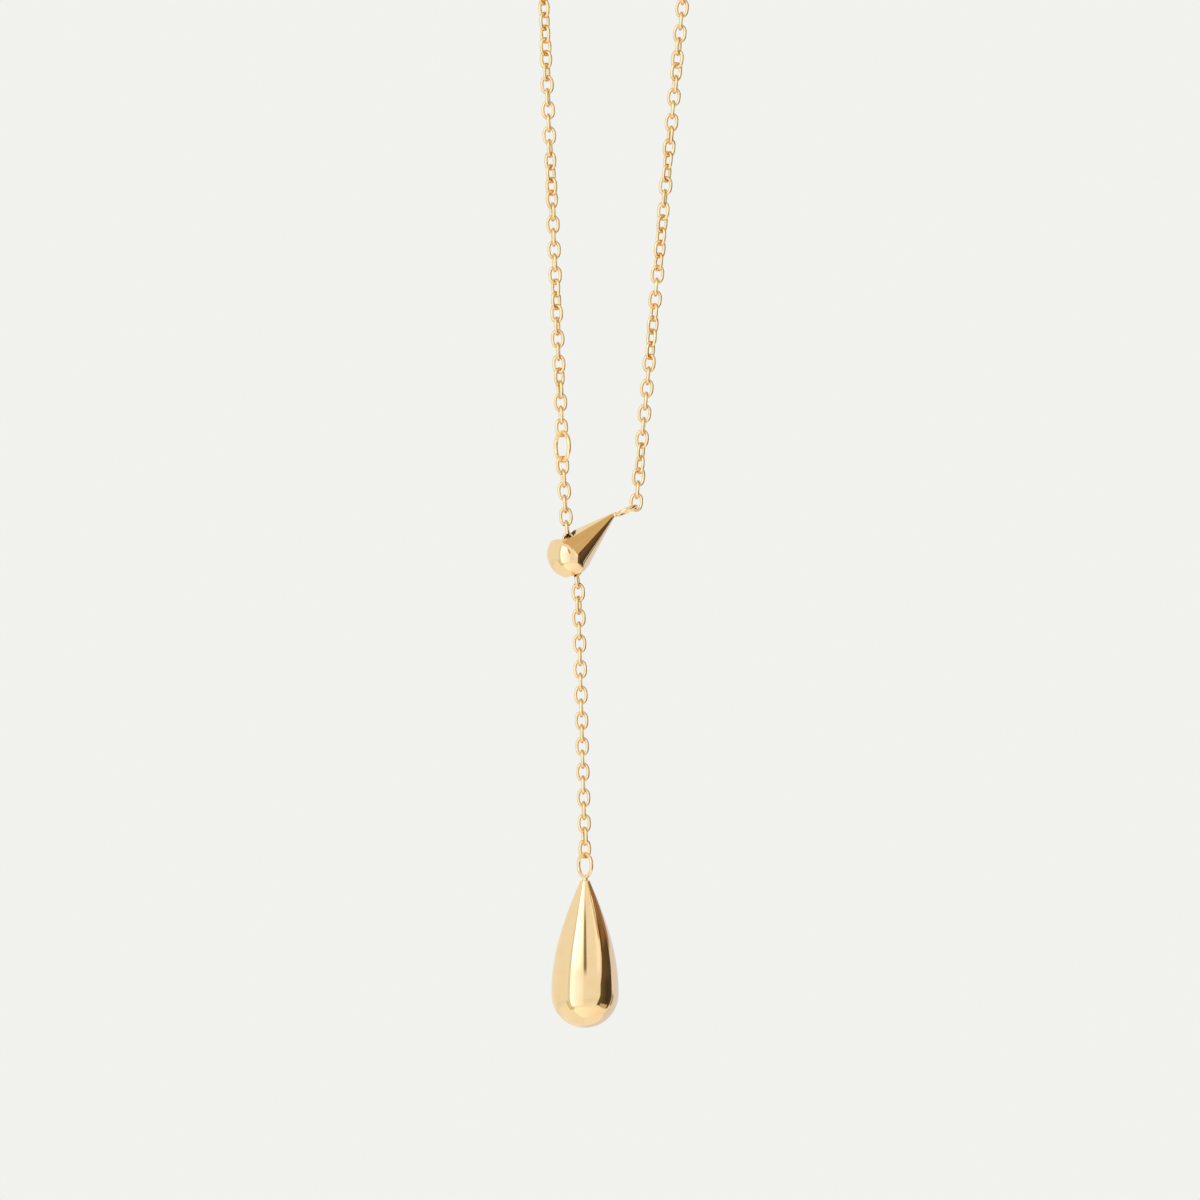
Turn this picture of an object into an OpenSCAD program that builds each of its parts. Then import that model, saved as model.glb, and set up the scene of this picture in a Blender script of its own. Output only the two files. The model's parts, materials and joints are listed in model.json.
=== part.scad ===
// Drop necklace: a fine cable chain with a teardrop bead that slides on it and a
// solid drop on the end of its tail. Millimetres, +Z up, +X to the wearer's left.
// The origin is at the nape, under the clasp, where the hanging loop is held.

/* [Chain] */
// Distance from one joint of the chain to the next
link_pitch = 1.275; // [1.2:0.005:1.3]
// Wire that the links are bent from
link_wire = 0.33; // [0.29:0.01:0.33]
// Outer width of a link
link_w = 1.42; // [1.4:0.01:1.46]
// Free play between one link and the next
link_play = 0.14; // [0.14:0.01:0.15]
// Free play of a link on a ring
ring_play = 0.15; // [0.14:0.01:0.16]

/* [Neck loop] */
// Length round the neck, from the slider's ring to the stop ring
neck_len = 432; // [400:4:520]
// Lean of the left strand outwards from plumb, in degrees
left_lean = 2.4; // [2:0.1:4]
// Lean of the right strand outwards from plumb, in degrees
right_lean = 5.3; // [4:0.1:6]
// Links of each strand that are built one by one, up from its lower end
strand_links = 100; // [60:1:100]

/* [Clasp] */
// Length of the barrel
clasp_len = 6; // [5:0.5:8]
// Diameter of the barrel
clasp_d = 2.4; // [2:0.1:3]
// Outer diameter of the ring at each end of the barrel
clasp_ring_d = 2.2; // [2.1:0.1:2.6]

/* [Stop ring] */
// Outer diameter of the ring that stops the slider
stop_d = 3.38; // [3.2:0.02:3.8]
// Wire of the stop ring
stop_wire = 0.4; // [0.36:0.01:0.4]
// Turn of the ring from face-on, in degrees
stop_turn = -63; // [-75:1:-55]
// Height of its centre above the foot, where the lines of the two strands cross
stop_up = 58.8; // [58:0.1:59.5]

/* [Slider] */
// Length of the teardrop bead, from its tip to its round end
slider_len = 8.45; // [8.3:0.05:8.8]
// Greatest radius of the bead
slider_r = 2.32; // [2.2:0.02:2.5]
// Radius of the shoulder between its cone and its round end
slider_shoulder_r = 1; // [0.8:0.05:1.2]
// Radius of its blunt tip
slider_tip_r = 0.24; // [0.2:0.01:0.3]
// Slope of its cone, in degrees
slider_taper = 18; // [17.5:0.25:18.5]
// Lean of the bead from plumb, in degrees
slider_lean = 47; // [44:1:50]
// Lean of its tip to the back, in degrees
slider_tip_back = 18; // [10:1:20]
// Diameter of the bore that the tail runs through
bore_d = 2.5; // [2.2:0.05:2.6]
// Distance of the bore from the tip, along the bead
bore_at = 6.05; // [5.9:0.05:6.15]
// Slant of the bore from square to the bead, in degrees
bore_slant = 21; // [18:1:24]
// Turn of the bore about the bead's own line, in degrees
bore_turn = 10; // [8:1:16]
// Outer diameter of the ring soldered to the tip
slider_ring_d = 2.5; // [2.4:0.05:2.6]
// Bend of this ring from the line of the bead, in degrees
slider_ring_bend = 20; // [17:1:23]
// Roll of this ring about its own length, in degrees
slider_ring_roll = 0; // [0:1:15]
// Height of the outer end of this ring above the foot
slider_up = 52.8; // [52:0.1:53.5]

/* [Drop] */
// Length of the drop without its ring
drop_len = 14.8; // [14:0.1:15.5]
// Greatest radius of the drop, which is also the radius of its round end
drop_r = 3.38; // [3.2:0.02:3.6]
// Radius of the curve of its flank beside the widest place
belly_r = 20.5; // [18:0.5:22]
// Height of this curve above the widest place
belly_h = 6; // [5.4:0.1:6.4]
// Radius of the flatter curve from there up to the tip
neck_r = 44; // [42:1:60]
// Outer diameter of the ring soldered to the tip
drop_ring_d = 2.7; // [2.6:0.02:2.8]
// Turn of this ring from face-on, in degrees
drop_ring_turn = -56; // [-60:1:-52]
// Height of the lowest link's bar, on which the drop swings, above the foot
drop_up = 17.6; // [17:0.1:19]
// Distance of the drop's plumb line to the left of the foot
drop_side = 0.2; // [0:0.05:0.3]

/* [Hidden] */

gold = [0.9, 0.72, 0.42];
pale_gold = [0.94, 0.79, 0.52];
round_fn = 120;
flank_fn = 1440;
wire_fn = 32;
bend_fn = 60;
solder_wire = 0.38;
drop_solder_r = 0.3;
slider_solder_r = 0.27;
tube_sides = 8;
tube_step = 3 * link_w;
gap = 0.1;
seam = 0.0005;
core_lap = 0.3;

// Twist of each strand about its own line: link number, degrees from face-on
left_twist = [[1, 20], [2, 6], [3, 2], [4, 22], [6, 70], [7, 90], [10, 64], [12, 36], [13, 12],
              [17, 2], [18, 14], [20, 50], [22, 57], [23, 77], [24, 90], [26, 90], [28, 74],
              [30, 58], [31, 36], [32, 46], [34, 52], [60, 30], [100, 45]];
right_twist = [[1, 10], [2, 0], [6, 80], [8, 90], [11, 90], [13, 54], [16, 30], [17, 5], [18, 0],
               [19, 6], [20, 30], [23, 44], [25, 80], [26, 82], [27, 58], [28, 36], [30, 20],
               [31, 2], [33, 2], [34, 12], [36, 62], [38, 90], [40, 90], [60, 60], [100, 45]];
tail_twist = [[1, -18], [3, 0], [10, 6], [12, 14], [14, 0], [28, 0], [31, -24]];

// One link: how far the middle of its wire reaches, and half of its straight sides
bar_z = (link_pitch + link_play + link_wire) / 2;
side_x = (link_w - link_wire) / 2;
side_z = bar_z - side_x;
bar_past_joint = bar_z - link_pitch / 2;

// The slider's ring: the solder at its foot, its middle and its outer end, from the bead's tip
slider_ring_r = (slider_ring_d - solder_wire) / 2;
slider_solder_at = [0.11, 0, 0.18];
slider_ring_at = [0.585, 0, 1.367];
slider_ring_end = slider_ring_at + slider_ring_r * [sin(slider_ring_bend), 0, cos(slider_ring_bend)];
slider_back = sin(slider_tip_back) * (bore_at + slider_ring_end[2]);

// A link's bar lies inside a ring, this far from the middle of the ring's wire
function ring_reach(wire) = (wire + link_wire) / 2 + ring_play;
function ring_mid_r(d, wire) = (d - wire) / 2;

// Two straight strands rise from the foot and run into the arch round the nape
half_spread = (left_lean + right_lean) / 2;
slant = (right_lean - left_lean) / 2;
left_start = (stop_up + ring_mid_r(stop_d, stop_wire)) / cos(left_lean)
             - ring_reach(stop_wire) + bar_past_joint;
right_start = slider_up / cos(right_lean) - ring_reach(solder_wire) + bar_past_joint;
foot_to_arch = (neck_len + left_start + right_start)
               / (2 * cos(half_spread) + sin(half_spread) * (180 + 2 * half_spread) * PI / 180);
arch_r = foot_to_arch * sin(half_spread);
straight = foot_to_arch * cos(half_spread);
clasp_ring_x = clasp_len / 2 + clasp_ring_d - solder_wire;
arch_centre = [0, 0, clasp_d / 2 - sqrt(pow(arch_r, 2) - pow(clasp_ring_x, 2))];
foot = arch_centre - foot_to_arch * [sin(slant), 0, cos(slant)];

function lean(side) = side < 0 ? left_lean : right_lean;
function heading(side, s) = side * (lean(side) - max(0, s - straight) / arch_r * 180 / PI);
function across(q) = [cos(q), 0, -sin(q)];
function back(side, s) = side < 0 ? 0 : slider_back * (straight - s) / (straight - right_start);
function strand(side, s) = s < straight
    ? foot + s * [side * sin(lean(side)), 0, cos(lean(side))] + [0, back(side, s), 0]
    : arch_centre + side * arch_r * across(heading(side, s));
function strand_end(side) = straight + (90 + lean(side) - asin(clasp_ring_x / arch_r)) * arch_r
    * PI / 180 + ring_reach(solder_wire) - bar_past_joint;
function strand_start(side) = side < 0 ? left_start : right_start;
function strand_count(side) = round((strand_end(side) - strand_start(side)) / link_pitch);
function strand_pitch(side) = (strand_end(side) - strand_start(side)) / strand_count(side);
function joints(side) = [for (k = [0 : strand_links])
    strand(side, strand_start(side) + k * strand_pitch(side))];

// The tail runs from the stop ring through the slider and down to the drop
stop_centre = foot + stop_up * [-tan(left_lean), 0, 1];
pivot = foot + [-drop_side, 0, drop_up];
tail_route = [stop_centre - [0, 0, ring_mid_r(stop_d, stop_wire) - ring_reach(stop_wire)
                             + bar_past_joint],
              foot + [-2, 0, 50.2], foot + [-0.9, 0, 45.5],
              pivot + [0, 0, bar_past_joint]];
function route_len(route) = len(route) < 2 ? 0
    : norm(route[1] - route[0]) + route_len([for (i = [1 : 1 : len(route) - 1]) route[i]]);
function along(route, s, i = 0) = let (run = norm(route[i + 1] - route[i]))
    s <= run || i == len(route) - 2
    ? route[i] + (route[i + 1] - route[i]) * s / run
    : along(route, s - run, i + 1);
tail_count = round(route_len(tail_route) / link_pitch);
tail_joints = [for (k = [0 : tail_count]) along(tail_route, route_len(tail_route) * k / tail_count)];

// Ring of wire in the XZ plane, round the origin
module wire_ring(d, wire) {
    rotate([90, 0, 0])
        rotate_extrude($fn = bend_fn)
            translate([ring_mid_r(d, wire), 0])
                circle(d = wire, $fn = wire_fn);
}

// Long link in the XZ plane: two round ends and two straight sides
module link() {
    for (half = [0, 180])
        rotate([90, half, 0]) {
            translate([0, side_z, 0])
                rotate_extrude(angle = 180, $fn = bend_fn)
                    translate([side_x, 0])
                        circle(d = link_wire, $fn = wire_fn);
            translate([side_x, 0, 0])
                rotate([90, 0, 0])
                    cylinder(h = 2 * side_z, d = link_wire, center = true, $fn = wire_fn);
        }
}

// Links from joint to joint, each square to the last but for the strand's twist
module chain(points, twist) {
    for (k = [1 : len(points) - 1]) {
        step = points[k] - points[k - 1];
        translate((points[k] + points[k - 1]) / 2)
            rotate([-asin(step[1] / norm(step)), atan2(step[0], step[2]), 0])
                rotate([0, 0, lookup(k, twist) + 90 * (k - 1)])
                    link();
    }
}

// Plain envelope of the links that go on round the nape
module nape_tube(side) {
    start = strand_start(side) + strand_links * strand_pitch(side) + bar_past_joint
            + link_wire / 2 + gap;
    end = strand_end(side) - bar_past_joint - link_wire / 2 - solder_wire - gap;
    steps = ceil((end - start) / tube_step);
    corner = 360 / tube_sides;
    points = [for (i = [0 : steps]) let (s = start + (end - start) * i / steps)
        for (j = [0 : tube_sides - 1])
            strand(side, s) + link_w / 2 * (cos((j + 0.5) * corner) * across(heading(side, s))
                                            + sin((j + 0.5) * corner) * [0, 1, 0])];
    sides = [for (i = [0 : steps - 1]) for (j = [0 : tube_sides - 1])
        let (a = i * tube_sides + j, b = i * tube_sides + (j + 1) % tube_sides)
        [a, b, b + tube_sides, a + tube_sides]];
    bottom = [for (j = [tube_sides - 1 : -1 : 0]) j];
    top = [for (j = [0 : tube_sides - 1]) steps * tube_sides + j];
    polyhedron(points, concat([bottom], sides, [top]));
}

// Half outline of the drop, tip at the origin: flat neck curve, belly curve, round end
module drop_outline() {
    low = drop_r - drop_len;
    belly_x = drop_r - belly_r;
    swing = asin(belly_h / belly_r);
    neck_x = belly_x + (belly_r - neck_r) * cos(swing);
    neck_z = low + (belly_r - neck_r) * sin(swing);
    intersection() {
        translate([0, -drop_len]) square([drop_len, drop_r]);
        translate([0, low]) circle(drop_r, $fn = round_fn);
    }
    intersection() {
        translate([0, low]) square([drop_r, belly_h]);
        translate([belly_x, low]) circle(belly_r, $fn = flank_fn);
    }
    intersection() {
        translate([0, low + belly_h]) square([drop_r, -low - belly_h]);
        translate([neck_x, neck_z]) circle(neck_r, $fn = flank_fn);
    }
}

module drop() {
    mid_r = ring_mid_r(drop_ring_d, solder_wire);
    ring_z = ring_reach(solder_wire) - mid_r;
    tip_z = ring_z - mid_r - drop_solder_r;
    color(gold)
        translate(pivot) {
            translate([0, 0, tip_z]) {
                rotate_extrude($fn = round_fn) drop_outline();
                sphere(drop_solder_r, $fn = round_fn);
            }
            translate([0, 0, ring_z]) rotate([0, 0, drop_ring_turn]) wire_ring(drop_ring_d, solder_wire);
        }
}

// Half outline of the slider, tip at the origin: cone, shoulder, round end. The cone and
// the round end stop a seam's width inside the shoulder, so that each crosses it cleanly
module slider_outline() {
    out = slider_r - slider_shoulder_r;
    shoulder_z = (slider_shoulder_r / cos(slider_taper) + out - slider_tip_r) / tan(slider_taper);
    below = slider_len - shoulder_z;
    rise = (pow(out, 2) - pow(below - slider_shoulder_r, 2)) / (2 * (below - slider_shoulder_r));
    dome_z = shoulder_z - rise;
    cone_end = [out, -shoulder_z]
               + (slider_shoulder_r - seam) * [cos(slider_taper), sin(slider_taper)];
    dome_top = -shoulder_z - slider_shoulder_r * sin(atan2(rise, out));
    polygon([[0, 0], [slider_tip_r, 0], cone_end, [0, cone_end[1]]]);
    translate([out, -shoulder_z]) circle(slider_shoulder_r, $fn = round_fn);
    translate([0, dome_top - core_lap]) square([out, cone_end[1] - dome_top + 2 * core_lap]);
    intersection() {
        translate([0, -dome_z]) circle(slider_len - dome_z - seam, $fn = round_fn);
        translate([0, -slider_len]) square([slider_r, slider_len + dome_top]);
    }
}

module slider() {
    color(gold)
        translate(foot + [slider_up * tan(right_lean), slider_back, slider_up])
            rotate([0, slider_lean, 0]) rotate([-slider_tip_back, 0, 0]) translate(-slider_ring_end)
                difference() {
                    union() {
                        rotate_extrude($fn = round_fn) slider_outline();
                        translate(slider_solder_at) sphere(slider_solder_r, $fn = round_fn);
                        translate(slider_ring_at)
                            rotate([0, slider_ring_bend, 0])
                                rotate([0, 0, 90 - slider_ring_roll])
                                    wire_ring(slider_ring_d, solder_wire);
                    }
                    translate([0, 0, -bore_at])
                        rotate([0, 90 + bore_slant, bore_turn])
                            cylinder(h = 4 * slider_r, d = bore_d, center = true, $fn = round_fn);
                }
}

module stop_ring() {
    color(pale_gold)
        translate(stop_centre)
            rotate([0, 0, stop_turn])
                wire_ring(stop_d, stop_wire);
}

// Plain barrel clasp with a flat ring soldered to each end
module clasp() {
    color(gold)
        translate([0, 0, clasp_d / 2]) {
            rotate([0, 90, 0]) cylinder(h = clasp_len, d = clasp_d, center = true, $fn = round_fn);
            for (side = [-1, 1])
                translate([side * (clasp_ring_x - ring_mid_r(clasp_ring_d, solder_wire)), 0, 0])
                    rotate([90, 0, 0])
                        wire_ring(clasp_ring_d, solder_wire);
        }
}

module tail_chain() {
    color(pale_gold) chain(tail_joints, tail_twist);
}

module left_chain() {
    color(pale_gold) chain(joints(-1), left_twist);
}

module right_chain() {
    color(pale_gold) chain(joints(1), right_twist);
}

module left_nape_chain() {
    color(pale_gold) nape_tube(-1);
}

module right_nape_chain() {
    color(pale_gold) nape_tube(1);
}

drop();
slider();
stop_ring();
clasp();
tail_chain();
left_chain();
right_chain();
left_nape_chain();
right_nape_chain();
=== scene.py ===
# Drop necklace in polished gold: a fine cable chain, a stop ring, a teardrop bead that slides on
# the tail, and a hanging drop. Sizes are real ones, and places follow from where the drop hangs.
import json

import bpy
import numpy as np
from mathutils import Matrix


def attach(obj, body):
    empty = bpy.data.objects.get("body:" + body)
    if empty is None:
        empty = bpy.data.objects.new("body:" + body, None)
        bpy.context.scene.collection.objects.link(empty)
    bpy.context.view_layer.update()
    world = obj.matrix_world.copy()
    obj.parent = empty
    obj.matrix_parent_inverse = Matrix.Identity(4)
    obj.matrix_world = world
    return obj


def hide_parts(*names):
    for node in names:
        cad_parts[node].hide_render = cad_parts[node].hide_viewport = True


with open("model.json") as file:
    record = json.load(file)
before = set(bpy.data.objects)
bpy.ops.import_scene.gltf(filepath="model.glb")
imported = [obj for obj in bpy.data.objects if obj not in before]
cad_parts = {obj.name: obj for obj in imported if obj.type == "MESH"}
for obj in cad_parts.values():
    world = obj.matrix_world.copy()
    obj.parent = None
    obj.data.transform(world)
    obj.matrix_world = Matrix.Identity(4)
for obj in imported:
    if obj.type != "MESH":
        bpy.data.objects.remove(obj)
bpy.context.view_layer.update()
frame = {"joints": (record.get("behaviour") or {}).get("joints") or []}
mm = 0.001
pivot = np.array(frame["joints"][0]["pos_m"])  # middle of the bar that the drop swings on
rng = np.random.default_rng(7)
print("frame loaded: drop hangs at", np.round(pivot / mm, 2), "mm")


# rotation matrix about one axis: cosine and sine of the angle in the plane of the other two
def turn(axis, degrees):
    a, b = {"x": (1, 2), "y": (2, 0), "z": (0, 1)}[axis]
    angle = np.radians(degrees)
    matrix = np.eye(3)
    matrix[a, a] = matrix[b, b] = np.cos(angle)
    matrix[b, a] = np.sin(angle)
    matrix[a, b] = -np.sin(angle)
    return matrix


# quads of a grid of points: each joins a point to its neighbours in the next row and column,
# and the last row or column joins the first where the grid closes on itself
def gridFaces(rows, columns, closedRows=True, closedColumns=True):
    r = np.arange(rows if closedRows else rows - 1)[:, None]
    c = np.arange(columns if closedColumns else columns - 1)[None, :]
    nextR, nextC = (r + 1) % rows, (c + 1) % columns
    corners = [r * columns + c, r * columns + nextC, nextR * columns + nextC, nextR * columns + c]
    return np.stack(np.broadcast_arrays(*corners), axis=-1).reshape(-1, 4)


# tube round a closed line in a plane: line(u) + radius * (cos v * outward(u) + sin v * across)
def closedTube(line, across, radius, sides):
    along = np.roll(line, -1, axis=0) - np.roll(line, 1, axis=0)
    outward = np.cross(along, across)
    outward /= np.linalg.norm(outward, axis=1, keepdims=True)
    v = 2 * np.pi * (np.arange(sides) + 0.5) / sides
    return (line[:, None] + radius * (np.cos(v)[None, :, None] * outward[:, None]
                                      + np.sin(v)[None, :, None] * across))


# ring of wire in the XZ plane: a closed tube round a circle of the wire's middle, then turned by
# a matrix and moved
def ringPart(outer, wire, matrix, middle, steps=96, sides=24):
    u = 2 * np.pi * np.arange(steps) / steps
    circle = (outer - wire) / 2 * np.stack([np.cos(u), 0 * u, np.sin(u)], axis=1)
    points = closedTube(circle, np.array([0.0, 1.0, 0.0]), wire / 2, sides)
    return points.reshape(-1, 3) @ matrix.T + middle, [gridFaces(steps, sides)]


# profile turned about Z: (r cos u, r sin u, z), with one point at each end of the axis
def turnedPart(profile, around):
    u = 2 * np.pi * np.arange(around) / around
    r, z = profile[1:-1, 0][:, None], profile[1:-1, 1][:, None]
    points = np.stack([r * np.cos(u), r * np.sin(u), z + 0 * u], axis=-1).reshape(-1, 3)
    rows = len(profile) - 2
    ends = [[0, 0, profile[0, 1]], [0, 0, profile[-1, 1]]]
    step = np.arange(around)
    following = (step + 1) % around
    firstEnd = np.stack([step, np.full(around, rows * around), following], axis=1)
    last = (rows - 1) * around
    lastEnd = np.stack([last + following, np.full(around, rows * around + 1), last + step], axis=1)
    return np.vstack([points, ends]), [gridFaces(rows, around, closedRows=False), firstEnd, lastEnd]


# arc in a profile: middle + radius * (cos a, sin a), from one angle to the other in degrees
def arc(middle, radius, start, end, steps):
    a = np.radians(np.linspace(start, end, steps))
    return np.array(middle) + radius * np.stack([np.cos(a), np.sin(a)], axis=1)


# joins parts into one smooth mesh and puts it in the frame. A part has its points, its faces as
# arrays of quads or triangles, and perhaps tones. The volume inside it is the sum of its
# triangles' determinants round its middle, and where that is negative its faces are turned over,
# to point outwards
def makePiece(name, parts, body, material, replaced):
    points, faces, tones, start = [], [], [], 0
    for partPoints, partFaces, *partTones in parts:
        tones.append(partTones[0] if partTones else np.zeros(len(partPoints)))
        halves = [rows[:, half] for rows in partFaces for half in ([0, 1, 2], [0, 2, -1])]
        corners = partPoints[np.vstack(halves)] - partPoints.mean(axis=0)
        way = 1 if np.linalg.det(corners).sum() > 0 else -1
        for rows in partFaces:
            faces += (start + rows[:, ::way]).tolist()
        points.append(partPoints)
        start += len(partPoints)
    mesh = bpy.data.meshes.new(name)
    mesh.from_pydata(np.vstack(points).tolist(), [], faces)
    mesh.attributes.new("tone", "FLOAT", "POINT").data.foreach_set("value", np.concatenate(tones))
    mesh.polygons.foreach_set("use_smooth", np.ones(len(faces), bool))
    mesh.materials.append(material)
    piece = bpy.data.objects.new(name, mesh)
    bpy.context.scene.collection.objects.link(piece)
    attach(piece, body)
    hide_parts(*replaced)
    print(name, "has", len(faces), "faces")


# one socket of a material's nodes: arithmetic on it, also with plain numbers, adds Math nodes
class Wire:
    def __init__(self, tree, socket=None):
        self.tree = tree
        self.socket = socket

    # adds a node: its settings first, then the values or links of its sockets, by name or number
    def node(self, kind, settings, sockets, output=0):
        made = self.tree.nodes.new(kind)
        for key, value in settings.items():
            setattr(made, key, value)
        for key, value in sockets.items():
            if isinstance(value, Wire):
                self.tree.links.new(value.socket, made.inputs[key])
            else:
                made.inputs[key].default_value = value
        return Wire(self.tree, made.outputs[output])

    def math(self, operation, first, second=0.0):
        return self.node("ShaderNodeMath", {"operation": operation}, {0: first, 1: second})

    def __add__(self, other):
        return self.math("ADD", self, other)

    def __mul__(self, other):
        return self.math("MULTIPLY", self, other)

    def __sub__(self, other):
        return self.math("SUBTRACT", self, other)

    def __rsub__(self, other):
        return self.math("SUBTRACT", other, self)

    __radd__ = __add__
    __rmul__ = __mul__

    # 0 below the first value, 1 above the second, smooth between
    def rise(self, low, high):
        settings = {"interpolation_type": "SMOOTHSTEP"}
        return self.node("ShaderNodeMapRange", settings, {0: self, 1: low, 2: high})

    # two colours mixed by this value, through the node's sockets for colours
    def between(self, first, second):
        sockets = {0: self, 6: first, 7: second}
        return self.node("ShaderNodeMix", {"data_type": "RGBA"}, sockets, output=2)


goldFinish = {
    "gold": (0.99, 0.75, 0.435, 1),  # polished metal seen straight on
    "deepGold": (0.965, 0.69, 0.37, 1),  # where the polish is thinner
    "shade": (0.82, 0.52, 0.22, 1),  # painted shade where the tone rises, and a link's own duller tone
    "clouds": {"Scale": 700.0, "Detail": 3.0},  # soft patches of thinner polish, per metre
    "cloudEdge": (0.35, 0.7),  # where a patch starts and where it is full
    "cloudDepth": 0.7,  # share of deep gold in a full patch
    "grain": {"Scale": 16000.0, "Detail": 2.0},  # fine polishing grain
    "scratches": {"Scale": 1.0, "Detail": 2.0},
    "scratchStretch": (9000, 9000, 500),  # long upwards, per metre
    "scratchEdge": (0.6, 0.72),
    "gloss": 0.045,  # roughness of clean polish, then what grain, scratches and tone add
    "grainHaze": 0.025,
    "scratchHaze": 0.03,
    "dull": 0.05,
    "bump": {"Strength": 0.03, "Distance": 0.02 * mm},
    "bumpShares": (0.5, 0.5, 0.3),  # of grain, clouds and scratches
}


# polished gold: colour from soft clouds and the tone, which mixes in painted shade, roughness
# from grain, scratches and tone, and a faint bump
def goldMaterial(name, **changes):
    finish = {**goldFinish, **changes}
    material = bpy.data.materials.new(name)
    material.use_nodes = True
    tree = material.node_tree
    shader = tree.nodes["Principled BSDF"]
    start = Wire(tree)
    place = start.node("ShaderNodeTexCoord", {}, {}, output="Object")
    stretch = {"Vector": place, "Scale": finish["scratchStretch"]}
    stretched = start.node("ShaderNodeMapping", {}, stretch)
    cloud = start.node("ShaderNodeTexNoise", {}, {"Vector": place, **finish["clouds"]})
    grain = start.node("ShaderNodeTexNoise", {}, {"Vector": place, **finish["grain"]})
    lines = start.node("ShaderNodeTexNoise", {}, {"Vector": stretched, **finish["scratches"]})
    tone = start.node("ShaderNodeAttribute", {"attribute_name": "tone"}, {}, output="Fac")
    patch = cloud.rise(*finish["cloudEdge"]) * finish["cloudDepth"]
    scratch = lines.rise(*finish["scratchEdge"])
    # painted shade: where the tone is high the colour runs to the shade colour
    colour = tone.between(patch.between(finish["gold"], finish["deepGold"]), finish["shade"])
    rough = finish["gloss"] + finish["grainHaze"] * grain + finish["scratchHaze"] * scratch
    rough = rough + finish["dull"] * tone
    ofGrain, ofCloud, ofScratch = finish["bumpShares"]
    height = grain * ofGrain + cloud * ofCloud - scratch * ofScratch
    bump = start.node("ShaderNodeBump", {}, {"Height": height, **finish["bump"]})
    tree.links.new(colour.socket, shader.inputs["Base Color"])
    tree.links.new(rough.socket, shader.inputs["Roughness"])
    tree.links.new(bump.socket, shader.inputs["Normal"])
    shader.inputs["Metallic"].default_value = 1.0
    return material


dropGold = goldMaterial("dropGold")
beadGold = goldMaterial("beadGold", shade=(0.2, 0.1, 0.04, 1), dull=0.4)  # rougher in its bore, and painted dark there as shade
chainGold = goldMaterial("chainGold", gold=(1, 0.83, 0.475, 1), gloss=0.06, grainHaze=0.05,
                         scratchHaze=0.06)
claspGold = goldMaterial("claspGold", gloss=0.08)
print("materials made")


# The two strands and the arch round the nape
link = {
    "pitch": 1.275 * mm,
    "width": 1.42 * mm,
    "wire": 0.36 * mm,
    "steps": 16,  # round the link
    "sides": 6,  # of its wire
    "squareness": 0.84,  # 1 is an ellipse, less has straighter sides
    "wobble": 3.0,  # degrees that a link's turn strays
    "rubbed": 0.85,  # painted shade at a link's ends, where it touches the next
    "rubbedPower": 6,  # how sharply it rises to there from the middle
    "ownTone": 0.15,  # most that a whole link is duller than another
}
neckLoop = {
    "foot": pivot + mm * np.array([0.2, 0, -17.6]),  # where the strands' lines would cross
    "length": 432 * mm,  # from the bead's ring to the stop ring
    "lean": {-1: 2.4, 1: 5.3},  # degrees from plumb, left -1 and right 1
    "jointInset": {-1: 0.28 * mm, 1: 0.27 * mm},  # from a ring's wire to the first joint
    # turn of the links about the strand: link number, degrees from face-on
    "turns": {
        -1: [[1, 20], [2, 6], [3, 2], [4, 22], [6, 70], [7, 90], [10, 64], [12, 36], [13, 12],
             [17, 2], [18, 14], [20, 50], [22, 57], [23, 77], [24, 90], [26, 90], [28, 74],
             [30, 58], [31, 36], [32, 46], [34, 52], [60, 30], [100, 45]],
        1: [[1, 10], [2, 0], [6, 80], [8, 90], [11, 90], [13, 54], [16, 30], [17, 5], [18, 0],
            [19, 6], [20, 30], [23, 44], [25, 80], [26, 82], [27, 58], [28, 36], [30, 20],
            [31, 2], [33, 2], [34, 12], [36, 62], [38, 90], [40, 90], [60, 60], [100, 45]],
    },
}
stopRing = {"outer": 3.38 * mm, "wire": 0.44 * mm, "turn": -63, "up": 58.8 * mm}
clasp = {
    "length": 6 * mm,
    "width": 2.4 * mm,
    "edge": 0.5 * mm,  # rounding of its ends
    "edgeSteps": 10,
    "around": 72,  # points round the barrel
    "ring": 2.2 * mm,
    "wire": 0.38 * mm,
}
bead = {
    "length": 8.45 * mm,
    "radius": 2.32 * mm,
    "shoulder": 1 * mm,
    "tip": 0.24 * mm,
    "taper": 18,  # slope of the cone
    "lean": 47,  # from plumb
    "tipBack": 18,  # lean of the tip away from the front
    "bore": 2.5 * mm,
    "boreAt": 6.05 * mm,  # from the tip
    "boreSlant": 21,  # from square to the bead
    "boreTurn": 10,  # about the bead's own line
    "rim": 0.09 * mm,  # rounding of the bore's edge
    "ring": 2.5 * mm,
    "wire": 0.38 * mm,
    "ringAt": mm * np.array([0.585, 0, 1.367]),
    "ringBend": 20,
    "solder": 0.27 * mm,
    "solderAt": mm * np.array([0.11, 0, 0.18]),
    "up": 52.8 * mm,
    "grid": {"around": 288, "skin": 210, "rim": 7, "bore": 6},  # points round and along
    "tipCrowd": 0.8,  # how much the columns crowd towards the tip
    "skinCrowd": 0.7,  # and the points along them, and at which share of the way
    "skinCrowdAt": 0.61,
    "rimReach": 1.2,  # how far the rim reaches over the skin, in its own width
    "halvings": 40,
}
foot = neckLoop["foot"]
lean = neckLoop["lean"]
beadRingEnd = bead["ringAt"] + (bead["ring"] - bead["wire"]) / 2 * np.array(
    [np.sin(np.radians(bead["ringBend"])), 0, np.cos(np.radians(bead["ringBend"]))])
beadBack = np.sin(np.radians(bead["tipBack"])) * (bead["boreAt"] + beadRingEnd[2])
stopReach = (stopRing["outer"] - stopRing["wire"]) / 2  # from the ring's middle to its wire
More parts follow.
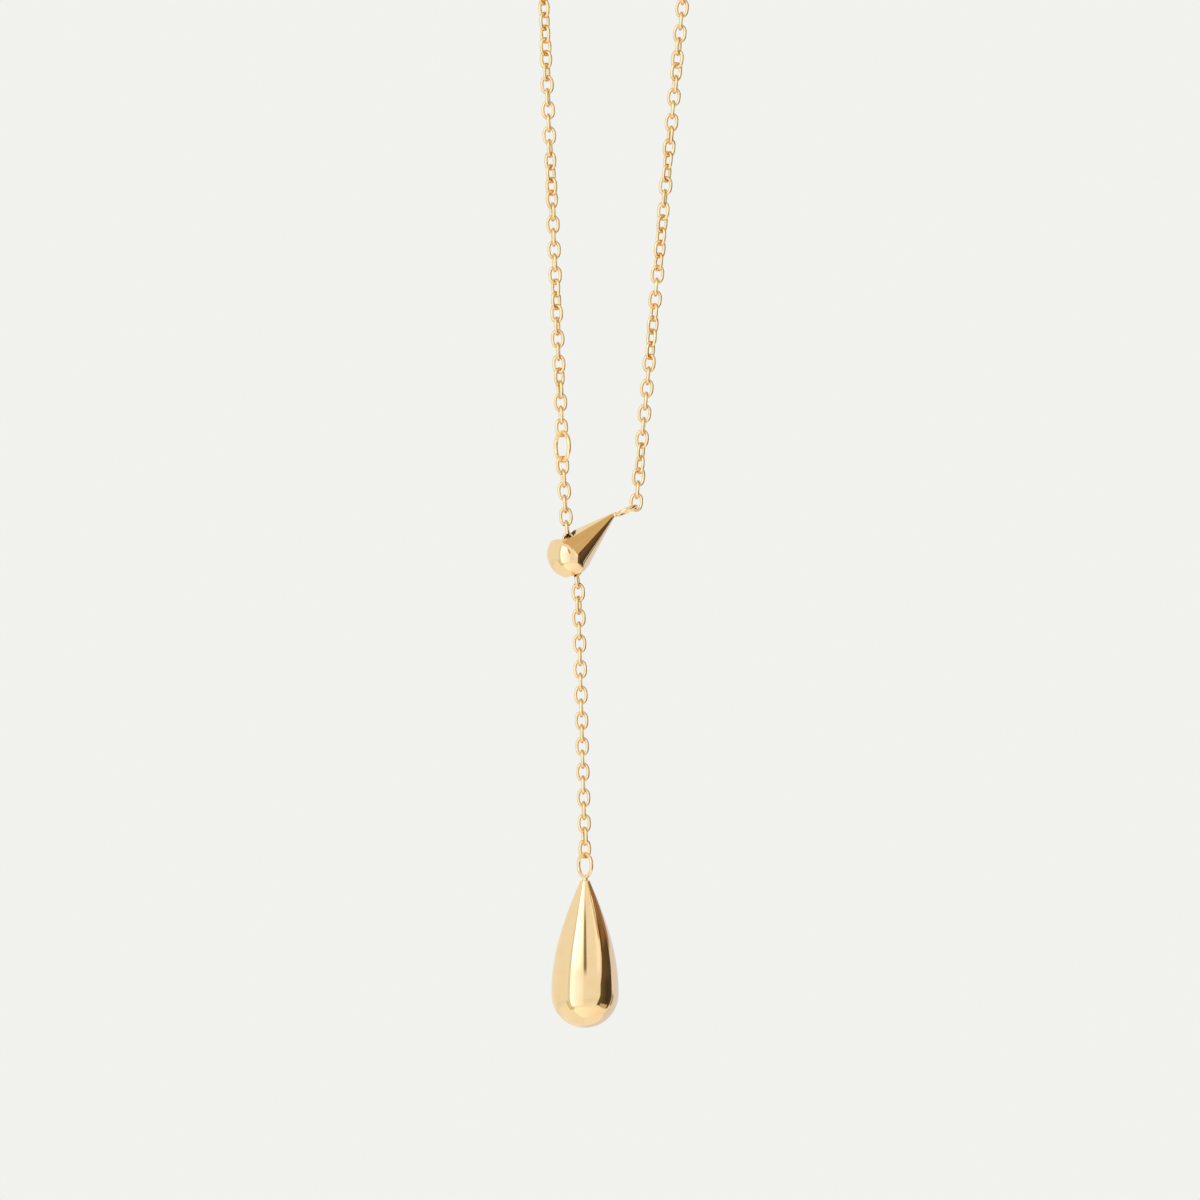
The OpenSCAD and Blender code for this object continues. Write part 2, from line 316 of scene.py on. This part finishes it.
ringLow = {  # along each strand from the foot: the wire of the ring at its lower end
    -1: (stopRing["up"] + stopReach) / np.cos(np.radians(lean[-1])),
    1: bead["up"] / np.cos(np.radians(lean[1])),
}
firstJoint = {side: ringLow[side] - neckLoop["jointInset"][side] for side in (-1, 1)}
halfSpread = np.radians(lean[-1] + lean[1]) / 2
slant = np.radians(lean[1] - lean[-1]) / 2
footToArch = (neckLoop["length"] + firstJoint[-1] + firstJoint[1]) / (
    2 * np.cos(halfSpread) + np.sin(halfSpread) * (np.pi + 2 * halfSpread))
archRadius = footToArch * np.sin(halfSpread)
straight = footToArch * np.cos(halfSpread)
archMiddle = foot + footToArch * np.array([np.sin(slant), 0, np.cos(slant)])
claspRingX = clasp["length"] / 2 + clasp["ring"] - clasp["wire"]


# point of a strand at a length s from the foot: straight up its lean, then round the arch.
# The right strand also runs back evenly to the bead, which hangs a little behind
def strandPoint(side, s):
    tilt = np.radians(lean[side])
    back = 0 * s if side < 0 else beadBack * (straight - s) / (straight - firstJoint[1])
    rising = foot + np.stack([side * np.sin(tilt) * s, back, np.cos(tilt) * s], axis=-1)
    q = side * (tilt - (s - straight) / archRadius)
    arching = archMiddle + side * archRadius * np.stack([np.cos(q), 0 * q, -np.sin(q)], axis=-1)
    return np.where((s < straight)[:, None], rising, arching)


# length from the foot at which a strand meets the clasp's ring: its straight run, then its way
# round the arch until it is as far from the middle as the ring
def ringHigh(side):
    swept = np.pi / 2 + np.radians(lean[side]) - np.arcsin(claspRingX / archRadius)
    return straight + swept * archRadius


# One link: line(u) = (a cos u, 0, b sin u), both raised to the power that squares it, as a tube
def linkShape(halfLength):
    u = 2 * np.pi * np.arange(link["steps"]) / link["steps"]
    c, s = np.cos(u), np.sin(u)
    power = link["squareness"]
    halfWidth = (link["width"] - link["wire"]) / 2
    line = np.stack([halfWidth * np.sign(c) * np.abs(c) ** power, 0 * u,
                     halfLength * np.sign(s) * np.abs(s) ** power], axis=1)
    return closedTube(line, np.array([0.0, 1.0, 0.0]), link["wire"] / 2, link["sides"])


# Links hanging in each other between two rings. Link k reaches from first - c0 + k (length - wire)
# over one length, so that every bar touches the next, and it is turned square to the last link.
# Its tone is a little of its own, and rises to painted shade at its ends as a power of the height
def chainPart(path, first, last, rings, count, turns):
    wire = link["wire"]
    contact = [(ring + wire) / 2 for ring in rings]
    length = (last - first + contact[0] + contact[1] + (count - 1) * wire) / count
    k = np.arange(count)
    low = first - contact[0] + k * (length - wire)
    start, end = path(low), path(low + length)
    z = (end - start) / np.linalg.norm(end - start, axis=1, keepdims=True)
    bearing = np.arctan2(z[:, 0], z[:, 2])
    x = np.stack([np.cos(bearing), 0 * bearing, -np.sin(bearing)], axis=1)
    y = np.cross(z, x)
    table = np.array(turns, float)
    twist = np.interp(k + 1, table[:, 0], table[:, 1]) + 90 * k
    twist = np.radians(twist + link["wobble"] * rng.uniform(-1, 1, count))[:, None]
    across = np.cos(twist) * x + np.sin(twist) * y
    through = np.cos(twist) * y - np.sin(twist) * x
    axes = np.stack([across, through, z], axis=1)
    shape = linkShape(length / 2).reshape(-1, 3)
    points = np.einsum("pi,kij->kpj", shape, axes) + (start + end)[:, None] / 2
    faces = gridFaces(link["steps"], link["sides"])
    faces = (faces[None] + len(shape) * k[:, None, None]).reshape(-1, 4)
    # painted shade: the tone is highest at the link's ends, where links touch
    ends = link["rubbed"] * np.abs(2 * shape[:, 2] / length) ** link["rubbedPower"]
    tone = np.clip(ends[None] + link["ownTone"] * rng.uniform(0, 1, count)[:, None], 0, 1)
    return points.reshape(-1, 3), [faces], tone.ravel()


for side, name in ((-1, "left"), (1, "right")):
    ringWire = stopRing["wire"] if side < 0 else bead["wire"]
    lastJoint = ringHigh(side) + neckLoop["jointInset"][1]
    count = round((lastJoint - firstJoint[side]) / link["pitch"])
    strand = chainPart(lambda s: strandPoint(side, s), ringLow[side], ringHigh(side),
                       (ringWire, clasp["wire"]), count, neckLoop["turns"][side])
    makePiece(name + "_strand_links", [strand], "necklace", chainGold,
              [name + "_chain", name + "_nape_chain"])

# The stop ring, turned away from face-on, on the left strand's line
stopMiddle = foot + stopRing["up"] * np.array([-np.tan(np.radians(lean[-1])), 0, 1])
stopPart = ringPart(stopRing["outer"], stopRing["wire"], turn("z", stopRing["turn"]), stopMiddle)
makePiece("stop_ring_wire", [stopPart], "necklace", chainGold, ["stop_ring"])

# The tail: from the stop ring through the bead's bore and down to the drop's ring
drop = {
    "length": 14.8 * mm,
    "radius": 3.38 * mm,
    "bellyRadius": 20.5 * mm,
    "bellyHeight": 6 * mm,
    "neckRadius": 44 * mm,
    "ring": 2.7 * mm,
    "wire": 0.38 * mm,
    "ringTurn": -56,
    "ringTop": 0.505 * mm,  # the wire at the top of its ring above the pivot
    "solder": 0.3 * mm,  # from the tip up to the wire at the foot of the ring
    "crown": 0.12 * mm,  # height of the rounded tip
    "steps": {"end": 48, "belly": 30, "neck": 40, "crown": 12},  # points along each arc
    "around": 180,  # points round the drop
}
tail = {
    "above": foot + mm * np.array([-2, 0, 50.2]),  # in the mouth of the bore
    "below": foot + mm * np.array([-0.9, 0, 45.5]),  # where it leaves the bore
    "turns": [[1, -18], [3, 0], [10, 6], [12, 14], [14, 0], [28, 0], [31, -24]],
}
tailRoute = np.array([stopMiddle - [0, 0, stopReach], tail["above"], tail["below"],
                      pivot + [0, 0, drop["ringTop"]]])
tailRun = np.linalg.norm(np.diff(tailRoute, axis=0), axis=1)
tailAt = np.concatenate([[0], np.cumsum(tailRun)])


# point of the tail at a length s from the stop ring, along straight runs, and on past both ends
def tailPoint(s):
    run = np.clip(np.searchsorted(tailAt, s) - 1, 0, len(tailRun) - 1)
    share = ((s - tailAt[run]) / tailRun[run])[:, None]
    return tailRoute[run] + (tailRoute[run + 1] - tailRoute[run]) * share


tailLength = tailAt[-1] - neckLoop["jointInset"][-1] + neckLoop["jointInset"][1]
tailCount = round(tailLength / link["pitch"])
tailPart = chainPart(tailPoint, 0.0, tailAt[-1], (stopRing["wire"], drop["wire"]), tailCount,
                     tail["turns"])
makePiece("tail_links", [tailPart], "necklace", chainGold, ["tail_chain"])


# The bead's radius at a depth below its tip: cone, shoulder arc, then the arc of its round end
def beadRadius(depth):
    slope = np.radians(bead["taper"])
    out = bead["radius"] - bead["shoulder"]
    shoulderAt = (bead["shoulder"] / np.cos(slope) + out - bead["tip"]) / np.tan(slope)
    below = bead["length"] - shoulderAt - bead["shoulder"]
    rise = (out ** 2 - below ** 2) / (2 * below)
    domeAt = shoulderAt - rise
    domeRadius = bead["length"] - domeAt
    domeFrom = shoulderAt + bead["shoulder"] * rise / np.hypot(rise, out)
    cone = bead["tip"] + depth * np.tan(slope)
    shoulder = out + np.sqrt(np.maximum(bead["shoulder"] ** 2 - (depth - shoulderAt) ** 2, 0))
    dome = np.sqrt(np.maximum(domeRadius ** 2 - (depth - domeAt) ** 2, 0))
    radius = np.where(depth < shoulderAt - bead["shoulder"] * np.sin(slope), cone,
                      np.where(depth < domeFrom, shoulder, dome))
    return np.where((depth > 0) & (depth < bead["length"]), radius, -1)


# The bead and its bore as one closed grid. Round the bore's axis at angle p, a column runs over
# the skin from the bore's upper mouth to its lower one, then back through the bore, and each
# mouth's edge is a curve through its corner. The skin's points are where rays from the middle of
# the bore leave the bead, found by halving; both angles crowd together towards the tip. The tone
# is 1 in the bore, which is left rough and painted dark as shade, and falls to 0 over the rims
def beadPart():
    aroundSteps, skinSteps, rimSteps, boreSteps = bead["grid"].values()
    toBore = turn("z", bead["boreTurn"]) @ turn("y", 90 + bead["boreSlant"])
    boreMiddle = np.array([0, 0, -bead["boreAt"]])

    # points by the bore's axis to points by the bead's
    def inBead(p):
        return p @ toBore.T + boreMiddle

    # how far each ray runs before it leaves the bead
    def leave(origin, ray):
        low = np.zeros(origin.shape[:-1])
        high = low + 2 * bead["length"]
        for halving in range(bead["halvings"]):
            half = (low + high) / 2
            q = inBead(origin + ray * half[..., None])
            inside = np.hypot(q[..., 0], q[..., 1]) < beadRadius(-q[..., 2])
            low, high = np.where(inside, half, low), np.where(inside, high, half)
        return low

    tipWay = -boreMiddle @ toBore
    u = 2 * np.pi * np.arange(aroundSteps) / aroundSteps - np.pi
    p = np.arctan2(tipWay[1], tipWay[0]) + u - bead["tipCrowd"] * np.sin(u)
    r = bead["bore"] / 2
    wall = np.stack([r * np.cos(p), r * np.sin(p), 0 * p], axis=1)
    up = np.array([0.0, 0.0, 1.0])
    top, bottom = leave(wall, up), leave(wall, -up)
    corner = [wall + up * top[:, None], wall - up * bottom[:, None]]
    inner = [corner[0] - up * bead["rim"], corner[1] + up * bead["rim"]]
    rimWidth = bead["rimReach"] * bead["rim"]
    first = np.arctan2(r, top) + rimWidth / np.hypot(r, top)
    last = np.arctan2(r, -bottom) - rimWidth / np.hypot(r, bottom)
    w = np.linspace(0, 1, skinSteps)
    wave = np.sin(2 * np.pi * (w - bead["skinCrowdAt"])) + np.sin(2 * np.pi * bead["skinCrowdAt"])
    crowd = w - bead["skinCrowd"] / (2 * np.pi) * wave
    angle = first[:, None] + (last - first)[:, None] * crowd
    ray = np.stack([np.sin(angle) * np.cos(p)[:, None], np.sin(angle) * np.sin(p)[:, None],
                    np.cos(angle)], axis=-1)
    skin = ray * leave(np.zeros_like(ray), ray)[..., None]
    t = (np.arange(rimSteps) / rimSteps)[None, :, None]
    upperRim = ((1 - t) ** 2 * inner[0][:, None] + 2 * t * (1 - t) * corner[0][:, None]
                + t ** 2 * skin[:, :1])
    t = t + 1 / rimSteps
    lowerRim = ((1 - t) ** 2 * skin[:, -1:] + 2 * t * (1 - t) * corner[1][:, None]
                + t ** 2 * inner[1][:, None])
    t = (np.arange(1, boreSteps) / boreSteps)[None, :, None]
    tunnel = inner[1][:, None] * (1 - t) + inner[0][:, None] * t
    grid = np.concatenate([upperRim, skin, lowerRim, tunnel], axis=1)
    # painted shade: the bore's wall is dark, fading out over the rims
    edge = np.arange(rimSteps) / rimSteps
    column = [1 - edge, np.zeros(skinSteps), edge + 1 / rimSteps, np.ones(boreSteps - 1)]
    tone = np.tile(np.concatenate(column), aroundSteps)
    return inBead(grid.reshape(-1, 3)), [gridFaces(aroundSteps, grid.shape[1])], tone


# ball: a turned half circle
def ballPart(radius, middle, steps=20, around=40):
    points, faces = turnedPart(arc((0, 0), radius, -90, 90, steps), around)
    return points + middle, faces


beadPlace = foot + np.array([bead["up"] * np.tan(np.radians(lean[1])), beadBack, bead["up"]])
beadTurn = turn("y", bead["lean"]) @ turn("x", -bead["tipBack"])
ringTurn = turn("y", bead["ringBend"]) @ turn("z", 90)
beadParts = [beadPart(), ringPart(bead["ring"], bead["wire"], ringTurn, bead["ringAt"]),
             ballPart(bead["solder"], bead["solderAt"])]
beadParts = [((part[0] - beadRingEnd) @ beadTurn.T + beadPlace, *part[1:]) for part in beadParts]
makePiece("slider_bead", beadParts, "necklace", beadGold, ["slider"])


# The drop: round end, belly and neck as arcs that run into each other, turned about its plumb
# line, with its ring soldered to the tip
def dropParts():
    low = drop["radius"] - drop["length"]
    bellyX = drop["radius"] - drop["bellyRadius"]
    swing = np.arcsin(drop["bellyHeight"] / drop["bellyRadius"])
    neckMiddle = np.array([bellyX, low]) + (drop["bellyRadius"] - drop["neckRadius"]) * np.array(
        [np.cos(swing), np.sin(swing)])
    neckEnd = np.arcsin((-drop["crown"] - neckMiddle[1]) / drop["neckRadius"])
    steps = drop["steps"]
    end = arc((0, low), drop["radius"], -90, 0, steps["end"])
    belly = arc((bellyX, low), drop["bellyRadius"], 0, np.degrees(swing), steps["belly"])
    neck = arc(neckMiddle, drop["neckRadius"], np.degrees(swing), np.degrees(neckEnd),
               steps["neck"])
    quarter = arc((0, 0), 1, 0, 90, steps["crown"])
    crown = quarter[1:] * [neck[-1, 0], drop["crown"]] - [0, drop["crown"]]
    profile = np.vstack([end[:-1], belly[:-1], neck, crown])
    profile[0, 0] = profile[-1, 0] = 0
    ringMiddle = drop["ringTop"] - (drop["ring"] - drop["wire"]) / 2
    tipUp = ringMiddle - (drop["ring"] - drop["wire"]) / 2 - drop["solder"]
    body, faces = turnedPart(profile, drop["around"])
    ring = ringPart(drop["ring"], drop["wire"], turn("z", drop["ringTurn"]),
                    pivot + [0, 0, ringMiddle])
    solder = ballPart(drop["solder"], pivot + [0, 0, tipUp])
    return [(body + pivot + [0, 0, tipUp], faces), ring, solder]


makePiece("drop_body", dropParts(), "drop", dropGold, ["drop"])


# The clasp: a plain barrel with rounded ends, turned about its own line, and its two rings
def claspParts():
    half, radius, edge = clasp["length"] / 2, clasp["width"] / 2, clasp["edge"]
    rounding = arc((radius - edge, half - edge), edge, 90, 0, clasp["edgeSteps"])
    upper = np.vstack([[[0, half]], rounding])
    lower = upper[::-1] * [1, -1]
    points, faces = turnedPart(np.vstack([upper, lower]), clasp["around"])
    middle = np.array([0, 0, clasp["width"] / 2])
    parts = [(points @ turn("y", 90).T + middle, faces)]
    for way in (-1, 1):
        ringX = way * (claspRingX - (clasp["ring"] - clasp["wire"]) / 2)
        parts.append(ringPart(clasp["ring"], clasp["wire"], np.eye(3), middle + [ringX, 0, 0]))
    return parts


makePiece("clasp_barrel", claspParts(), "necklace", claspGold, ["clasp"])

# The studio: soft cards all round that only the metal sees, a pale room and a pale floor
studio = {
    "middle": foot + mm * np.array([0, 0, 30]),
    "away": 0.9,
    "gap": 0.01,  # from one card to the next, nearer one
    "grid": (49, 33),  # points across and up a card
    "room": (0.883, 0.890, 0.857, 1),
}
# each card: left and right edge, degrees round from the camera; lower and upper edge, degrees
# above level; how far these sides have moved to the right at the top; the light of its left and
# right edge; how many degrees its left, right, lower and upper edge fade over
cards = [
    {"name": "floorGlow", "round": (-180, 180), "up": (-90, -24), "light": (0.93, 0.92, 0.87),
     "fade": (0, 0, 0, 8)},
    {"name": "ceilingCap", "round": (-180, 180), "up": (76, 90), "light": (0.63, 0.49, 0.29),
     "fade": (0, 0, 5, 0)},
    {"name": "ceiling", "round": (44, 180), "up": (47, 90), "light": (0.63, 0.49, 0.29),
     "fade": (6, 8, 5, 0)},
    {"name": "brownWall", "round": (84, 136), "up": (24, 52), "light": (0.30, 0.17, 0.08),
     "right": (0.42, 0.27, 0.18), "fade": (3, 8, 4, 4)},
    {"name": "frontFloor", "round": (-60, 100), "up": (-88, -40), "light": (1.18, 1.16, 1.1),
     "right": (0.96, 0.86, 0.74), "fade": (8, 8, 4, 8)},
    {"name": "sideRight", "round": (108, 190), "up": (-50, 18), "light": (0.73, 0.75, 0.88),
     "fade": (2, 12, 6, 5)},
    {"name": "olive", "round": (-74, -42), "up": (-52, -18), "light": (0.65, 0.63, 0.40),
     "fade": (4, 10, 6, 6)},
    {"name": "window", "round": (-56, 0), "up": (-42, 49), "lean": (6, 0),
     "light": (1.5, 1.47, 1.8), "right": (0.95, 0.94, 0.9), "fade": (2, 10, 6, 5)},
    {"name": "windowTop", "round": (-52, -8), "up": (8, 50), "lean": (5, 4),
     "light": (2.3, 2.3, 2.6), "right": (1.3, 1.28, 1.2), "fade": (2, 8, 12, 5)},
    {"name": "frameLeft", "round": (-65, -56), "up": (-42, 48), "lean": (7, 7),
     "light": (0.75, 0.74, 0.7), "fade": (2, 2, 5, 5)},
    {"name": "windowRight", "round": (38, 54), "up": (6, 38), "lean": (12, 24),
     "light": (0.95, 0.93, 0.88), "right": (1.15, 1.12, 1.05), "fade": (6, 2, 6, 3)},
    {"name": "tanWall", "round": (64, 90), "up": (22, 51), "lean": (-4, 0),
     "light": (0.63, 0.49, 0.29), "fade": (2, 3, 2, 2)},
    {"name": "lamp", "round": (75, 84), "up": (26, 34), "light": (1.9, 1.9, 1.9),
     "fade": (2, 2, 2, 2)},
    {"name": "streak", "round": (-7, 9), "up": (6, 44), "light": (0.26, 0.2, 0.14),
     "fade": (5, 5, 6, 10)},
    {"name": "shelf", "round": (100, 152), "up": (9, 30), "light": (0.34, 0.20, 0.13),
     "fade": (3, 6, 3, 3)},
    {"name": "doorwayTop", "round": (67, 118), "up": (14, 30), "lean": (15, 10),
     "light": (0.2, 0.11, 0.05), "right": (0.28, 0.17, 0.1), "fade": (3, 4, 0, 6)},
    {"name": "doorwayMiddle", "round": (53, 106), "up": (0, 19), "lean": (18, 13),
     "light": (0.14, 0.092, 0.05), "right": (0.08, 0.055, 0.033), "fade": (3, 3, 0, 4)},
    {"name": "doorEdge", "round": (66, 77), "up": (14, 44), "lean": (22, 22),
     "light": (0.08, 0.048, 0.024), "fade": (2, 4, 3, 8)},
    {"name": "doorway", "round": (43, 82), "up": (-38, 5), "lean": (12, 0),
     "light": (0.15, 0.115, 0.065), "right": (0.055, 0.042, 0.022), "fade": (3, 0, 4, 4)},
    {"name": "doorwayRight", "round": (82, 104), "up": (-38, 5), "lean": (0, 3),
     "light": (0.055, 0.042, 0.022), "right": (0.08, 0.06, 0.045), "fade": (0, 2, 4, 4)},
    {"name": "lowPatch", "round": (58, 97), "up": (-41, -27), "light": (0.59, 0.45, 0.3),
     "fade": (4, 4, 3, 4)},
    {"name": "darkLine", "round": (107, 115), "up": (-28, -2), "light": (0.13, 0.11, 0.09),
     "fade": (2, 2, 4, 4)},
]


# spherical card round the studio's middle: (sin a cos e, -cos a cos e, sin e) * distance. Its light
# runs from the left edge's to the right edge's, and thins out to nothing at edges that fade
def makeCard(card, order):
    columns, rows = studio["grid"]
    across = np.linspace(0, 1, columns)[:, None]
    above = np.linspace(0, 1, rows)[None, :]
    moved = card.get("lean", (0, 0))
    leftEdge = card["round"][0] + moved[0] * above
    rightEdge = card["round"][1] + moved[1] * above
    a = leftEdge * (1 - across) + rightEdge * across
    e = np.broadcast_to(card["up"][0] * (1 - above) + card["up"][1] * above, a.shape)
    azimuth, height = np.radians(a), np.radians(e)
    points = studio["middle"] + (studio["away"] - studio["gap"] * order) * np.stack(
        [np.sin(azimuth) * np.cos(height), -np.cos(azimuth) * np.cos(height),
         np.sin(height)], axis=-1)
    mesh = bpy.data.meshes.new(card["name"])
    faces = gridFaces(columns, rows, False, False)
    mesh.from_pydata(points.reshape(-1, 3).tolist(), [], faces.tolist())
    inward = [a - a[:1], a[-1:] - a, e - e[:, :1], e[:, -1:] - e]
    cover = np.ones((columns, rows))
    for distance, fade in zip(inward, card["fade"]):
        if fade:
            cover = cover * np.clip(distance / fade, 0, 1)
    for name, values in (("cover", cover), ("across", across + 0 * above)):
        mesh.attributes.new(name, "FLOAT", "POINT").data.foreach_set("value", values.ravel())
    material = bpy.data.materials.new(card["name"])
    material.use_nodes = True
    tree = material.node_tree
    tree.nodes.remove(tree.nodes["Principled BSDF"])
    start = Wire(tree)
    kind = "ShaderNodeAttribute"
    shown = start.node(kind, {"attribute_name": "cover"}, {}, output="Fac")
    left, right = np.array(card["light"]), np.array(card.get("right", card["light"]))
    brightest = max(left.max(), right.max())  # colours stay within 1
    colour = (*left / brightest, 1)
    if "right" in card:
        spread = start.node(kind, {"attribute_name": "across"}, {}, output="Fac")
        colour = spread.between(colour, (*right / brightest, 1))
    light = start.node("ShaderNodeEmission", {}, {"Color": colour, "Strength": brightest})
    clear = start.node("ShaderNodeBsdfTransparent", {}, {})
    mixed = start.node("ShaderNodeMixShader", {}, {0: shown.rise(0.0, 1.0), 1: clear, 2: light})
    tree.links.new(mixed.socket, tree.nodes["Material Output"].inputs["Surface"])
    mesh.materials.append(material)
    made = bpy.data.objects.new("card_" + card["name"], mesh)
    bpy.context.scene.collection.objects.link(made)
    made.visible_camera = False
    made.visible_shadow = False


for order, card in enumerate(cards):
    makeCard(card, order)

scene = bpy.context.scene
world = bpy.data.worlds.new("paleRoom")
world.use_nodes = True
world.node_tree.nodes["Background"].inputs["Color"].default_value = studio["room"]
scene.world = world
scene.view_settings.view_transform = "Standard"


floorDisc = {
    "drop": 1.1,  # below the foot
    "radius": (0.02, 4),  # of its first and last ring of points
    "rings": 12,
    "around": 64,
    "pale": (0.96, 0.965, 0.95, 1),
    "darker": (0.93, 0.935, 0.92, 1),
    "mottle": {"Scale": 40.0, "Detail": 4.0},
    "roughness": 0.9,
}


# pale floor: a flat disc of rings of points (r cos u, r sin u, 0) round a middle point
def makeFloor():
    rings, around = floorDisc["rings"], floorDisc["around"]
    r = np.linspace(*floorDisc["radius"], rings)[:, None]
    u = 2 * np.pi * np.arange(around)[None, :] / around
    ring = np.stack([r * np.cos(u), r * np.sin(u), 0 * r * u], axis=-1).reshape(-1, 3)
    points = np.vstack([ring, [[0, 0, 0]]]) + foot - [0, 0, floorDisc["drop"]]
    bands = gridFaces(rings, around, False, True)[:, ::-1]
    step = np.arange(around)
    centre = np.stack([np.full(around, len(ring)), step, (step + 1) % around], axis=1)
    mesh = bpy.data.meshes.new("floor")
    mesh.from_pydata(points.tolist(), [], bands.tolist() + centre.tolist())
    material = bpy.data.materials.new("paleFloor")
    material.use_nodes = True
    tree = material.node_tree
    start = Wire(tree)
    place = start.node("ShaderNodeTexCoord", {}, {}, output="Object")
    mottle = start.node("ShaderNodeTexNoise", {}, {"Vector": place, **floorDisc["mottle"]})
    colour = mottle.between(floorDisc["pale"], floorDisc["darker"])
    shader = tree.nodes["Principled BSDF"]
    tree.links.new(colour.socket, shader.inputs["Base Color"])
    shader.inputs["Roughness"].default_value = floorDisc["roughness"]
    mesh.materials.append(material)
    floor = bpy.data.objects.new("floor", mesh)
    scene.collection.objects.link(floor)


makeFloor()

# The camera looks level at the necklace, with the whole frame 120 mm wide where it hangs
view = {
    "middle": foot + mm * np.array([1.306, 0, 43.46]),
    "width": 120 * mm,
    "away": 1.2,
    "sensor": 36,
    "clip": (0.05, 20),
}
camera = bpy.data.cameras.new("camera")
camera.sensor_width = view["sensor"]
camera.lens = view["sensor"] * view["away"] / view["width"]
camera.clip_start, camera.clip_end = view["clip"]
cameraObject = bpy.data.objects.new("camera", camera)
cameraObject.location = view["middle"] - [0, view["away"], 0]
cameraObject.rotation_euler = (np.pi / 2, 0, 0)
scene.collection.objects.link(cameraObject)
scene.camera = cameraObject
print("studio and camera made")
